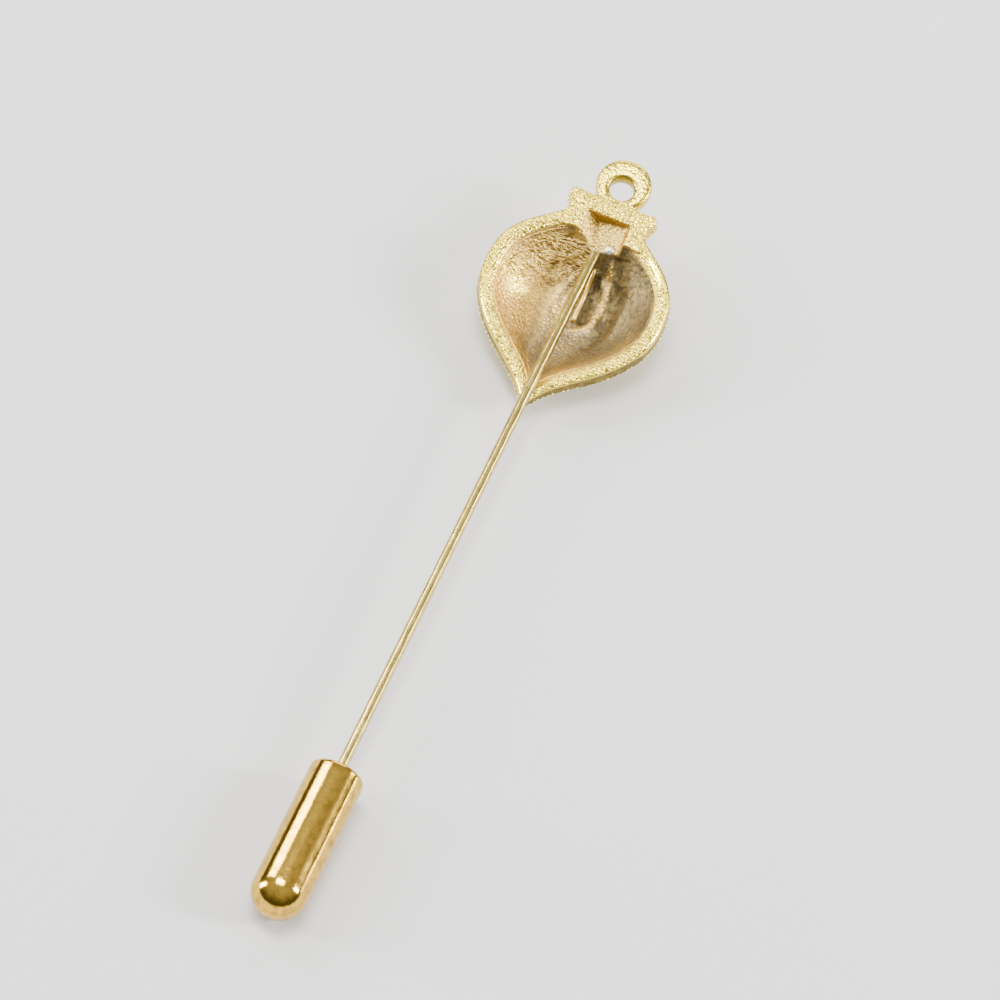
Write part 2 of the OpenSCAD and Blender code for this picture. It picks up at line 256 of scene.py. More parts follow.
def pick(piece):
    clear_selection()
    piece.select_set(True)
    bpy.context.view_layer.objects.active = piece


def edit(piece):
    pick(piece)
    bpy.ops.object.mode_set(mode="EDIT")
    bpy.ops.mesh.select_all(action="SELECT")


def leave():
    bpy.ops.object.mode_set(mode="OBJECT")


def edit_points(piece, chosen):
    """Opens a piece for editing with only the chosen points selected."""
    edit(piece)
    bpy.ops.mesh.select_all(action="DESELECT")
    leave()
    piece.data.vertices.foreach_set("select", chosen)
    bpy.ops.object.mode_set(mode="EDIT")
    bpy.ops.mesh.select_mode(type="VERT")


def apply(piece, kind, **values):
    pick(piece)
    modifier = piece.modifiers.new(kind.lower(), kind)
    for key, value in values.items():
        setattr(modifier, key, value)
    bpy.ops.object.modifier_apply(modifier=modifier.name)


def smooth_where(piece, share, passes):
    """Smooths each point as strongly as its share says, in steps of a tenth."""
    group = piece.vertex_groups.new(name="smoothed")
    for level in range(1, 11):
        chosen = np.nonzero(np.round(share * 10) == level)[0]
        group.add(chosen.tolist(), level / 10, "REPLACE")
    apply(piece, "SMOOTH", factor=0.5, iterations=passes, vertex_group="smoothed")
    piece.vertex_groups.clear()


def place(piece, matrix):
    """Puts a piece that was modelled in millimetres into the frame, with its place in its mesh."""
    piece.data.transform(Matrix.Scale(MM, 4) @ matrix @ piece.matrix_world)
    piece.matrix_world = Matrix.Identity(4)
    piece.data.update()


def turned(name, profile, steps):
    """Turns a profile of (radius, height) pairs round the Z axis by extrude, spin and merge."""
    clear_selection()
    bpy.ops.mesh.primitive_plane_add(size=0.01, location=(0, 0, 0))
    piece = bpy.context.active_object
    piece.name = piece.data.name = name
    edit(piece)
    bpy.ops.mesh.merge(type="CENTER")
    radius, height = profile[0]
    bpy.ops.transform.translate(value=(radius, 0, height))
    for (r0, h0), (r1, h1) in zip(profile, profile[1:]):
        move = {"value": (r1 - r0, 0, h1 - h0)}
        bpy.ops.mesh.extrude_region_move(TRANSFORM_OT_translate=move)
    bpy.ops.mesh.select_all(action="SELECT")
    bpy.ops.mesh.spin(steps=steps, angle=math.tau, center=(0, 0, 0), axis=(0, 0, 1))
    bpy.ops.mesh.select_all(action="SELECT")
    bpy.ops.mesh.remove_doubles(threshold=0.002)
    bpy.ops.mesh.normals_make_consistent(inside=False)
    leave()
    bpy.ops.object.shade_smooth()
    return piece


def along_wire(way):
    """Matrix that lays a turned piece along the wire, this far from the wire's soldered end."""
    return (
        PIN
        @ Matrix.Translation((STEM_SIDE, -way, 0))
        @ Matrix.Rotation(math.radians(90), 4, "X")
    )


def finish_piece(piece, body, slot, material, *nodes):
    piece.data.materials.clear()
    piece.data.materials.append(material)
    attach(piece, body)
    if nodes:
        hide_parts(*nodes)


def read_values(values, key):
    data = np.empty(len(values) * 3, np.float32)
    values.foreach_get(key, data)
    return data.reshape(-1, 3).astype(float)


def read_points(piece):
    return read_values(piece.data.vertices, "co")


def read_normals(piece):
    return read_values(piece.data.vertex_normals, "vector")


def write_points(piece, points):
    piece.data.vertices.foreach_set("co", points.ravel())


def store(piece, name, values):
    layer = piece.data.attributes.new(name, "FLOAT", "POINT")
    layer.data.foreach_set("value", np.asarray(values, np.float32))


# The drop's form, in its own frame


def curve(a, b, c, d, t):
    """Point on the smooth curve through a, b, c and d, this share of the way from b to c."""
    return 0.5 * (
        2 * b + (c - a) * t + (2 * a - 5 * b + 4 * c - d) * t * t + (3 * b - a - 3 * c + d) * t * t * t
    )


def side_line():
    """Half of the drop's outline, from its tip to the collar's corner."""
    rows = np.array(
        [(w * DROP_R, (y - 1) * DROP_LEN) for y, w in DROP_ROWS]
        + [(w * COLLAR_R, y * NECK_LEN) for y, w in NECK_ROWS]
    )
    last = len(rows) - 1
    line = []
    for i in range(last):
        around = [rows[min(last, max(0, i + j))] for j in (-1, 0, 1, 2)]
        for k in range(OUTLINE_STEPS):
            line.append(curve(*around, k / OUTLINE_STEPS))
    line.append(rows[last])
    line = np.array(line)
    line[:, 0] = np.maximum(0, line[:, 0])
    return line


SIDE_LINE = side_line()
SHOULDER_I = (len(DROP_ROWS) - 1) * OUTLINE_STEPS


def inner_reach():
    """Angles round the hollow's middle, from the neck to the tip, and the rim's inner edge at each."""
    reach = (SIDE_LINE[: SHOULDER_I + 1] - [0, MIDDLE_Y]) * (1 - RIM_SHARE)
    angle = np.degrees(np.arctan2(reach[:, 0], reach[:, 1]))
    size = np.hypot(reach[:, 0], reach[:, 1])
    turn = np.linspace(angle[-1], 0, 12)[1:]
    dip = LIP_DIP * np.cos(np.radians(90 * np.minimum(1, turn / LIP_HALF)))
    angle = np.concatenate([angle, turn])[::-1]
    size = np.concatenate([size, size[-1] * (1 - dip)])[::-1]
    return angle, size


REACH = inner_reach()


def way_in(x, y):
    """Share of the way from the rim's inner edge to the hollow's middle; below 0 outside the hollow."""
    reach = np.interp(np.degrees(np.arctan2(np.abs(x), y - MIDDLE_Y)), *REACH)
    return 1 - np.hypot(x, y - MIDDLE_Y) / reach


def side_z(y):
    """Height of the beaded line, which lies below the flat back and nearer to it at the tip."""
    share = np.minimum(1, (y + DROP_LEN) / (TIP_REACH * DROP_LEN))
    return -SIDE_H * (TIP_SHARE + (1 - TIP_SHARE) * share)


def ramp(value, none, full):
    """0 at one value and before it, 1 at the other and past it, with a soft rise between them."""
    t = np.clip((value - none) / (full - none), 0, 1)
    return t * t * (3 - 2 * t)


def stroke_share(x, y, line):
    """1 along the line, falling to 0 at its half width to either side."""
    best = np.zeros(len(x))
    for (ax, ay, aw), (bx, by, bw) in zip(line, line[1:]):
        long = (bx - ax) ** 2 + (by - ay) ** 2
        t = np.clip(((x - ax) * (bx - ax) + (y - ay) * (by - ay)) / long, 0, 1)
        away = np.hypot(x - ax - t * (bx - ax), y - ay - t * (by - ay)) / (aw + t * (bw - aw))
        best = np.maximum(best, 1 - away)
    return ramp(best, 0, 1)


def into(matrix, points, direction=False):
    """Reads points or directions of the pin in the frame that the matrix places."""
    m = np.array(matrix.inverted())
    turned_points = points @ m[:3, :3].T
    return turned_points if direction else turned_points + m[:3, 3]


Skin = namedtuple("Skin", "x y z facing_y facing_z inside")


def read_skin(piece):
    """Points of the casting, how they face, and how far inside the rim's inner edge they are."""
    x, y, z = into(DROP, read_points(piece)).T
    normal = into(DROP, read_normals(piece), direction=True)
    return Skin(x, y, z, normal[:, 1], normal[:, 2], way_in(x, y))


# Masks for the casting's material, each from 0 to 1 at every point


def neck_mask(skin):
    """The strip between the recess's sides, from the lip upwards."""
    return ramp(skin.y, *RECESS_LIP) * ramp(RECESS_SIDE - np.abs(skin.x), 0, 0.1)


def recess_mask(skin):
    """The recess in the neck, down to its floor."""
    mask = neck_mask(skin) * ramp(RECESS_TOP - skin.y, 0, 0.1) * ramp(-skin.z, 0.02, 0.1)
    return mask * (skin.z > RECESS_FLOOR)


def hollow_mask(skin):
    """The hollow inside the rim, with a sharper edge where its wall is steep."""
    soft_edge = ramp(skin.inside, -0.045, 0.03)
    steep_edge = ramp(skin.inside, -0.05, -0.03) * ramp(-skin.z, 0.25, 0.3)
    edge = np.maximum(soft_edge, steep_edge)
    return edge * (skin.facing_z > -0.1) * (1 - neck_mask(skin)) * (skin.z > -3.8)


def grey_mask(skin, hollow):
    """The smooth middle and right of the hollow, but not the ridge at its middle."""
    above = skin.y + 6
    slant = skin.x + 0.35 * np.maximum(above, 0) - 0.3 * np.minimum(above, 0)
    grey = ramp(slant, -3.2, 0.6)
    grey *= np.maximum(ramp(skin.inside, 0.03, 0.22), ramp(skin.y, -9, -6))
    grey -= 0.6 * stroke_share(skin.x, skin.y, MIDDLE_RIDGE)
    return np.maximum(0, grey) * hollow


def wave_mask(skin, hollow):
    """The upper left of the hollow's slope, where the skin of the casting is wavy."""
    upper = ramp(skin.y - 0.5 * skin.x, -5.5, -1.5)
    ring = ramp(skin.inside, 0.0, 0.1) * (1 - ramp(skin.inside, 0.5, 0.8))
    return upper * ring * hollow * ramp(skin.x, 1.0, -0.4)


def low_right_mask(skin):
    """The drop's side right of its tip, where the painted dark band reaches higher and which is not
    worn.
    """
    return ramp(skin.x, -0.5, 0.5) * ramp(-skin.y, 8.2, 9.2)


def band_mask(skin):
    """The painted dark reflection on the drop's side: a band between its worn edge and the beaded line,
    where the side turns outwards.
    """
    low_right = low_right_mask(skin)
    below = -skin.z - 0.5 + 0.3 * low_right
    band = 0.95 * ramp(below, 0, 0.12) * ramp(skin.z, -1.7, -1.5) * (skin.inside < -0.1)
    band *= ramp(skin.facing_z, 0.55 + 0.25 * low_right, 0.3 + 0.25 * low_right)
    return band * (skin.y < 0.3) * (skin.facing_z > -0.4)


def painted_shade_mask(skin, hollow, recess):
    """Painted shade: darkens the grooves, pocket, walls and right side of the hollow, the recess's
    walls, the loop and the inside of its hole, and paints the dark reflection on the drop's side.
    """
    x, y, facing_z = skin.x, skin.y, skin.facing_z
    grooves = sum(stroke.tarnish * stroke_share(x, y, stroke.line) for stroke in STROKES) * hollow
    # Painted shade over the hollow's right side
    right_shade = 0.55 * ramp(x, 0.8, 3.4) * hollow
    # Painted shade on the hollow's steep upper left wall, under the rim
    left_wall_shade = 0.6 * ramp(facing_z, 0.85, 0.45) * ramp(y, -6.0, -3.0) * ramp(x, 1.5, -0.5) * hollow
    # Painted shade on the recess's walls
    recess_wall_shade = (0.15 * ramp(-skin.facing_y, 0.4, 0.8) + 0.1 * ramp(facing_z, 0.8, 0.6)) * recess
    loop_hole = ramp(np.hypot(x, y - LOOP_Y), 1.2, 1.0)
    # Painted shade: the whole loop a little darker, and the inside of its hole darker still
    loop = ramp(y, 3.0, 3.3) * (0.2 + 0.45 * loop_hole)
    total = grooves + right_shade + left_wall_shade + recess_wall_shade + band_mask(skin) + loop
    return np.clip(total, 0, 1)


def worn_mask(skin, recess):
    """The bright strip just below the drop's edge, the loop, and a polished patch of the rim."""
    strip = ramp(-skin.z, 0.01, 0.05) * ramp(skin.z, -0.75, -0.45) * (skin.inside < -0.08)
    strip *= 1 - ramp(skin.facing_z, 0.88, 0.975)
    strip *= (1 - recess) * (skin.y < 0.5) * (1 - low_right_mask(skin))
    loop = 0.7 * ramp(skin.y, 2.7, 3.3)
    patch = stroke_share(skin.x, skin.y, RIM_SHINE) * (skin.z > -0.1)
    return np.maximum(np.maximum(strip, loop), patch)


# Nodes and node groups


def feed(tree, socket, value):
    """Links a socket to an input, or sets the input's own value."""
    if isinstance(value, bpy.types.NodeSocket):
        tree.links.new(value, socket)
    else:
        socket.default_value = value


def node(tree, kind, ins=None, **props):
    made = tree.nodes.new(kind)
    for key, value in props.items():
        setattr(made, key, value)
    for key, value in (ins or {}).items():
        feed(tree, made.inputs[key], value)
    return made


def math_node(tree, operation, a, b=0.0, clamp=False):
    return node(tree, "ShaderNodeMath", {0: a, 1: b}, operation=operation, use_clamp=clamp).outputs[0]


def times(tree, a, b, clamp=False):
    return math_node(tree, "MULTIPLY", a, b, clamp)


def plus(tree, a, b):
    return math_node(tree, "ADD", a, b)


def vector_node(tree, operation, ins):
    return node(tree, "ShaderNodeVectorMath", ins, operation=operation).outputs[0]


def spread(tree, value, low, high, to_low=0.0, to_high=1.0):
    made = node(
        tree, "ShaderNodeMapRange",
        {"Value": value, "From Min": low, "From Max": high, "To Min": to_low, "To Max": to_high},
    )
    return made.outputs[0]


def fade(tree, mask, at_none, at_full):
    """Goes from one value where the mask is 0 to the other where it is 1."""
    return spread(tree, mask, 0.0, 1.0, at_none, at_full)


def as_colour(value):
    return value if isinstance(value, bpy.types.NodeSocket) else (*value, 1)


def mix_colour(tree, share, a, b):
    ins = {0: share, 6: as_colour(a), 7: as_colour(b)}
    return node(tree, "ShaderNodeMix", ins, data_type="RGBA").outputs[2]


def mix_value(tree, share, a, b):
    return node(tree, "ShaderNodeMix", {0: share, 2: a, 3: b}).outputs[0]


def noise(tree, vector, per_metre, detail, rough=0.5):
    made = node(
        tree, "ShaderNodeTexNoise",
        {"Vector": vector, "Scale": per_metre, "Detail": detail, "Roughness": rough},
    )
    return made.outputs


def new_group(name, inputs, outputs):
    group = bpy.data.node_groups.new(name, "ShaderNodeTree")
    for label, kind, value in inputs:
        socket = group.interface.new_socket(label, in_out="INPUT", socket_type=kind)
        if value is not None:
            socket.default_value = value
    for label in outputs:
        group.interface.new_socket(label, in_out="OUTPUT", socket_type="NodeSocketFloat")
    given = group.nodes.new("NodeGroupInput").outputs
    results = group.nodes.new("NodeGroupOutput").inputs
    return group, given, results


def use(tree, group, ins):
    return node(tree, "ShaderNodeGroup", ins, node_tree=group).outputs


def grain_group():
    """Pebbled skin of a sand casting: rounded pebbles with pits between them."""
    name = "Cast grain"
    if name in bpy.data.node_groups:
        return bpy.data.node_groups[name]
    inputs = [("Vector", "NodeSocketVector", None), ("Pebbles per metre", "NodeSocketFloat", 4800.0)]
    group, given, results = new_group(name, inputs, ["Height", "Pit", "Tone"])
    warp = noise(group, given["Vector"], 2600.0, 2.0)["Color"]
    shift = vector_node(group, "SUBTRACT", {0: warp, 1: (0.5, 0.5, 0.5)})
    shift = vector_node(group, "SCALE", {0: shift, "Scale": 0.00005})
    moved = vector_node(group, "ADD", {0: given["Vector"], 1: shift})
    lie = {"Vector": moved, "Scale": given["Pebbles per metre"], "Randomness": 0.9}
    cells = node(group, "ShaderNodeTexVoronoi", {**lie, "Smoothness": 0.35}, feature="SMOOTH_F1")
    edges = node(group, "ShaderNodeTexVoronoi", lie, feature="DISTANCE_TO_EDGE")
    rise = spread(group, cells.outputs["Distance"], 0.1, 0.75, 1.0, 0.0)
    pit = spread(group, edges.outputs["Distance"], 0.0, 0.22, 1.0, 0.0)
    slow = times(group, noise(group, given["Vector"], 1300.0, 3.0)["Fac"], 0.4)
    height = plus(group, times(group, rise, 0.8), slow)
    height = math_node(group, "SUBTRACT", height, times(group, pit, 0.45))
    tone = node(group, "ShaderNodeSeparateColor", {0: cells.outputs["Color"]}).outputs[0]
    feed(group, results["Height"], height)
    feed(group, results["Pit"], pit)
    feed(group, results["Tone"], tone)
    return group


def worm_group():
    """Wavy ridges that run across the drop, as soft wax leaves them in a casting."""
    name = "Worm ridges"
    if name in bpy.data.node_groups:
        return bpy.data.node_groups[name]
    group, given, results = new_group(name, [("Vector", "NodeSocketVector", None)], ["Height"])
    along = node(group, "ShaderNodeMapping", {"Vector": given["Vector"], "Scale": (0.42, 1.0, 1.0)})
    warp = noise(group, given["Vector"], 900.0, 2.0)["Color"]
    shift = vector_node(group, "SCALE", {0: warp, "Scale": 0.0007})
    moved = vector_node(group, "ADD", {0: along.outputs[0], 1: shift})
    ridges = noise(group, moved, 1500.0, 3.0, rough=0.55)["Fac"]
    fold = math_node(group, "ABSOLUTE", math_node(group, "SUBTRACT", ridges, 0.5))
    feed(group, results["Height"], spread(group, fold, 0.0, 0.16, 1.0, 0.0))
    return group


def scratch_group():
    """Fine lines along a piece's length, broken up, and the soft mottling of worn polish."""
    name = "Wear lines"
    if name in bpy.data.node_groups:
        return bpy.data.node_groups[name]
    inputs = [("Vector", "NodeSocketVector", None), ("Stretch", "NodeSocketVector", (1.0, 0.06, 1.0))]
    group, given, results = new_group(name, inputs, ["Lines", "Mottle"])
    long_way = vector_node(group, "MULTIPLY", {0: given["Vector"], 1: given["Stretch"]})
    feed(group, results["Lines"], noise(group, long_way, 9000.0, 4.0)["Fac"])
    feed(group, results["Mottle"], noise(group, given["Vector"], 1500.0, 5.0, rough=0.6)["Fac"])
    return group


# Materials


def new_material(name):
    material = bpy.data.materials.new(name)
    material.use_nodes = True
    tree = material.node_tree
    tree.nodes.clear()
    shader = tree.nodes.new("ShaderNodeBsdfPrincipled")
    output = tree.nodes.new("ShaderNodeOutputMaterial")
    tree.links.new(shader.outputs[0], output.inputs[0])
    where = tree.nodes.new("ShaderNodeTexCoord").outputs["Object"]
    return material, tree, shader, where


def dress_metal(tree, shader, colour, rough, height, strength, depth):
    """Feeds a metal's colour, roughness and bump into its shader."""
    shader.inputs["Metallic"].default_value = 1.0
    feed(tree, shader.inputs["Base Color"], colour)
    feed(tree, shader.inputs["Roughness"], rough)
    bump = node(tree, "ShaderNodeBump", {"Height": height, "Strength": strength, "Distance": depth})
    feed(tree, shader.inputs["Normal"], bump.outputs[0])


def read_mask(tree, name):
    return node(tree, "ShaderNodeAttribute", attribute_name=name).outputs["Fac"]


def cast_colour(tree, where, look, mask, pebble, coarse, ridges):
    """Gold rim, rosy hollow with painted highlights on its grains and on the tops of its wavy ridges and
    painted shade between the ridges, greyer middle, and painted shade over all.
    """
    crest = spread(tree, ridges, 0.35, 0.85)
    # Painted shade in the troughs between the wavy ridges
    low = times(tree, mask["waves"], math_node(tree, "SUBTRACT", 0.75, crest), clamp=True)
    # Painted highlights on the tops of the coarse grains, fewer in the grey middle
    dots = times(tree, spread(tree, coarse["Pit"], 0.6, 0.0), spread(tree, coarse["Tone"], 0.3, 0.7))
    dots = times(tree, dots, fade(tree, mask["grey"], 1.0, 0.15))
    # Painted highlights on the tops of the wavy ridges
    crest_highlights = times(tree, crest, times(tree, mask["waves"], 0.75))
    dots = math_node(tree, "MAXIMUM", dots, crest_highlights)
    tint = mix_colour(tree, mask["grey"], look.hollow, look.floor)
    tint = mix_colour(tree, low, tint, look.valley_shade)
    tint = mix_colour(tree, dots, tint, look.dots)
    base = mix_colour(tree, mask["hollow"], look.rim, tint)
    base = mix_colour(tree, mask["recess"], base, look.recess)
    cloud = noise(tree, where, 3200.0, 3.0)["Fac"]
    # Painted shade, mottled by the cloud: grooves, pocket, walls, hole and the dark reflection on the
    # drop's side
    dark = times(tree, mask["tarnish"], spread(tree, cloud, 0.35, 0.6, 0.85, 1.0), clamp=True)
    base = mix_colour(tree, dark, base, look.tarnish)
    base = mix_colour(tree, fade(tree, pebble["Tone"], 0.22, 0.0), base, look.deep)
    smooth = math_node(tree, "MAXIMUM", mask["worn"], mask["recess"])
    smooth = math_node(tree, "MAXIMUM", smooth, mask["tarnish"])
    pit = times(tree, pebble["Pit"], fade(tree, mask["hollow"], 0.5, 0.3))
    pit = times(tree, pit, fade(tree, smooth, 1.0, 0.1))
    return mix_colour(tree, pit, base, look.deep)


def cast_roughness(tree, mask, pebble):
    """Rougher in the hollow and under the painted shade, and polished where worn."""
    rough = mix_value(tree, mask["hollow"], 0.27, 0.43)
    rough = mix_value(tree, mask["recess"], rough, 0.42)
    rough = mix_value(tree, mask["tarnish"], rough, 0.62)
    rough = plus(tree, rough, fade(tree, pebble["Tone"], -0.06, 0.08))
    polish = times(tree, mask["worn"], mask["worn"])
    return mix_value(tree, polish, rough, 0.13)


def cast_height(tree, where, mask, pebble, coarse, ridges):
    """Pebbles on the rim, a softer grain in the hollow, and the wavy ridges."""
    strong = mix_value(tree, mask["hollow"], 0.5, 0.48)
    for name, least in (("worn", 0.12), ("grey", 0.5), ("tarnish", 0.3)):
        strong = times(tree, strong, fade(tree, mask[name], 1.0, least))
    soft = noise(tree, where, 4200.0, 2.5)["Fac"]
    soft = plus(tree, soft, times(tree, coarse["Height"], 0.9))
    height = times(tree, mix_value(tree, mask["hollow"], pebble["Height"], soft), strong)
    height = plus(tree, height, times(tree, times(tree, ridges, mask["waves"]), 1.1))
    return times(tree, height, fade(tree, mask["recess"], 1.0, 0.7))


def cast_material(look):
    """Pale cast gold: pebbled rim, rosy hollow with a smooth grey middle, painted shade and painted
    highlights, worn edges.
    """
    material, tree, shader, where = new_material("cast_gold")
    names = ("hollow", "worn", "grey", "waves", "recess", "tarnish")
    mask = {name: read_mask(tree, name) for name in names}
    level = (-math.radians(LEAN + STEM_RISE), 0, 0)
    flat = node(tree, "ShaderNodeMapping", {"Vector": where, "Rotation": level}).outputs[0]
    pebble = use(tree, grain_group(), {"Vector": where, "Pebbles per metre": 1 / look.grain})
    coarse = use(tree, grain_group(), {"Vector": where, "Pebbles per metre": 0.9 / look.grain})
    ridges = use(tree, worm_group(), {"Vector": flat})["Height"]
    colour = cast_colour(tree, where, look, mask, pebble, coarse, ridges)
    rough = cast_roughness(tree, mask, pebble)
    height = cast_height(tree, where, mask, pebble, coarse, ridges)
    dress_metal(tree, shader, colour, rough, height, 1.0, 0.0001)
    return material


def wire_material(look):
    """Drawn wire: long fine lines and a slightly uneven, olive-gold skin."""
    material, tree, shader, where = new_material("drawn_wire")
    wear = use(tree, scratch_group(), {"Vector": where})
    dark = [0.72 * c for c in look.colour]
    colour = mix_colour(tree, spread(tree, wear["Mottle"], 0.35, 0.7), look.colour, dark)
    rough = spread(tree, wear["Lines"], 0.3, 0.7, 0.16, 0.3)
    height = plus(tree, wear["Lines"], times(tree, wear["Mottle"], 1.4))
    dress_metal(tree, shader, colour, rough, height, 0.35, 0.00003)
    return material


def clutch_material(look):
    """Plated clutch: bright polish with mottled wear and hairlines along it."""
    material, tree, shader, where = new_material("clutch_gold")
    wear = use(tree, scratch_group(), {"Vector": where})
    dark = [0.5 * c for c in look.colour]
    colour = mix_colour(tree, spread(tree, wear["Mottle"], 0.42, 0.68), look.colour, dark)
    rough = spread(tree, wear["Mottle"], 0.3, 0.7, look.rough * 0.7, look.rough * 1.6)
    height = plus(tree, times(tree, wear["Lines"], 0.5), wear["Mottle"])
    dress_metal(tree, shader, colour, rough, height, 0.35, 0.00003)
    return material


def bright_material(name, light, dark, rough):
    """Bright metal with a soft mottle: the solder, the beads and the rib."""
    material, tree, shader, where = new_material(name)
    cloud = noise(tree, where, 2500.0, 3.0)["Fac"]
    colour = mix_colour(tree, cloud, light, dark)
    uneven = spread(tree, cloud, 0.3, 0.7, rough * 0.85, rough * 1.15)
    dress_metal(tree, shader, colour, uneven, cloud, 0.4, 0.00004)
    return material


def floor_material(look):
    """Plain pale matt floor with a faint mottle."""
    material, tree, shader, where = new_material("plain_floor")
    cloud = noise(tree, where, 40.0, 4.0)["Fac"]
    dark = [0.97 * c for c in look.floor]
    feed(tree, shader.inputs["Base Color"], mix_colour(tree, cloud, look.floor, dark))
    shader.inputs["Roughness"].default_value = 0.85
    shader.inputs["Specular IOR Level"].default_value = 0.2
    return material


# Operators


class OBJECT_OT_cast_drop(bpy.types.Operator):
    """Makes the cast drop with its rim, hollow, neck, collar and loop"""

    bl_idname = "object.pin_cast_drop"
    bl_label = "Cast drop"

    def execute(self, context):
        look = context.scene.pin_cast
        piece = self.copy_node(context, frame["nodes"]["ornament"])
        apply(piece, "REMESH", mode="VOXEL", voxel_size=look.voxel / MM, use_smooth_shade=True)
        self.cut_wire(piece)
        self.drop_crumbs(piece)
        self.soften(piece)
        self.carve(piece)
        self.mark(piece)
        place(piece, Matrix.Identity(4))
        pick(piece)
        bpy.ops.object.shade_smooth()
        finish_piece(piece, "pin", "cast_gold", cast_material(look), "ornament")
        return {"FINISHED"}

    def copy_node(self, context, source):
        """Copies the CAD node's mesh, in millimetres, without the marks that make it a node."""
        pick(source)
        bpy.ops.object.duplicate()
        piece = context.active_object
        piece.name = piece.data.name = "cast_drop"
        for key in [k for k in piece.keys() if k.startswith("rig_")]:
            del piece[key]
        piece.parent = None
        piece.data.transform(Matrix.Scale(1 / MM, 4))
        edit(piece)
        bpy.ops.mesh.remove_doubles(threshold=0.0005)
        leave()
        return piece

    def cut_wire(self, piece):
        """Takes the wire off the copy and closes the hole, because the wire is a piece of its own."""
        at = into(PIN, read_points(piece))
        along = -at[:, 1]
        across = np.hypot(at[:, 0] - STEM_SIDE, at[:, 2])
        edit_points(piece, (along > CUT_FROM) & (across < CUT_R))
        bpy.ops.mesh.delete(type="VERT")
        bpy.ops.mesh.select_all(action="SELECT")
        bpy.ops.mesh.fill_holes(sides=0)
        bpy.ops.mesh.select_all(action="SELECT")
        bpy.ops.mesh.quads_convert_to_tris()
        bpy.ops.mesh.normals_make_consistent(inside=False)
        leave()

    def drop_crumbs(self, piece):
        """Deletes what the cut left loose, which is all that doesn't join the top of the loop."""
        y = read_points(piece)[:, 1]
        edit_points(piece, np.arange(len(y)) == np.argmax(y))
        bpy.ops.mesh.select_linked()
        bpy.ops.mesh.select_all(action="INVERT")
        bpy.ops.mesh.delete(type="VERT")
        leave()

    def soften(self, piece):
        """Rounds off the facets, more in the hollow and on the front than at the rim and neck."""
        skin = read_skin(piece)
        worn_side = np.maximum(ramp(skin.x, 2, -2), ramp(skin.y, -7, -10))
        inner_edge = ramp(np.abs(skin.inside), 0.1, 0.02) * (0.35 + 0.65 * worn_side)
        soft = np.maximum(ramp(skin.inside, 0.02, 0.12), inner_edge)
        soft *= 1 - ramp(skin.y, -1.6, -0.6)
        soft = np.where(skin.facing_z < -0.2, 1, soft)
        soft = np.where(skin.y > 3.05, 1, soft)
        apply(piece, "SMOOTH", factor=0.5, iterations=5)
        smooth_where(piece, soft, 22)

    def carve(self, piece):
        """Cuts the hollow's grooves, raises its ridges and rounds the rim's inner edge."""
        skin = read_skin(piece)
        in_hollow = (skin.facing_z > 0.1) * (skin.y < -1.15) * (skin.z > -3.7)
        open_side = ramp(skin.inside, 0.02, 0.1) * in_hollow
        rise = sum(stroke.height * stroke_share(skin.x, skin.y, stroke.line) for stroke in STROKES)
        on_rim = (skin.z > -0.3) * (skin.y < -0.6) * (skin.facing_z > 0.5)
        rounding = 0.18 * ramp(skin.inside, -0.1, 0.02) * on_rim
        up = np.array(DROP)[:3, 2]
        write_points(piece, read_points(piece) + (rise * open_side - rounding)[:, None] * up)
        smooth_where(piece, open_side > 0.5, 8)

    def mark(self, piece):
        """Stores where the casting is hollow, worn, grey and wavy, and where it gets painted shade, for
        its material.
        """
        skin = read_skin(piece)
        hollow = hollow_mask(skin)
        recess = recess_mask(skin)
        # The shine patch is polished, and the hollow's colour there gives way in part to the rim's
        # brighter gold: a painted sheen
        shine = 0.55 * stroke_share(skin.x, skin.y, HOLLOW_SHINE)
        store(piece, "hollow", hollow * (1 - shine))
        store(piece, "worn", np.maximum(worn_mask(skin, recess), shine))
        store(piece, "grey", grey_mask(skin, hollow))
        store(piece, "waves", wave_mask(skin, hollow))
        store(piece, "recess", recess)
        store(piece, "tarnish", painted_shade_mask(skin, hollow, recess))


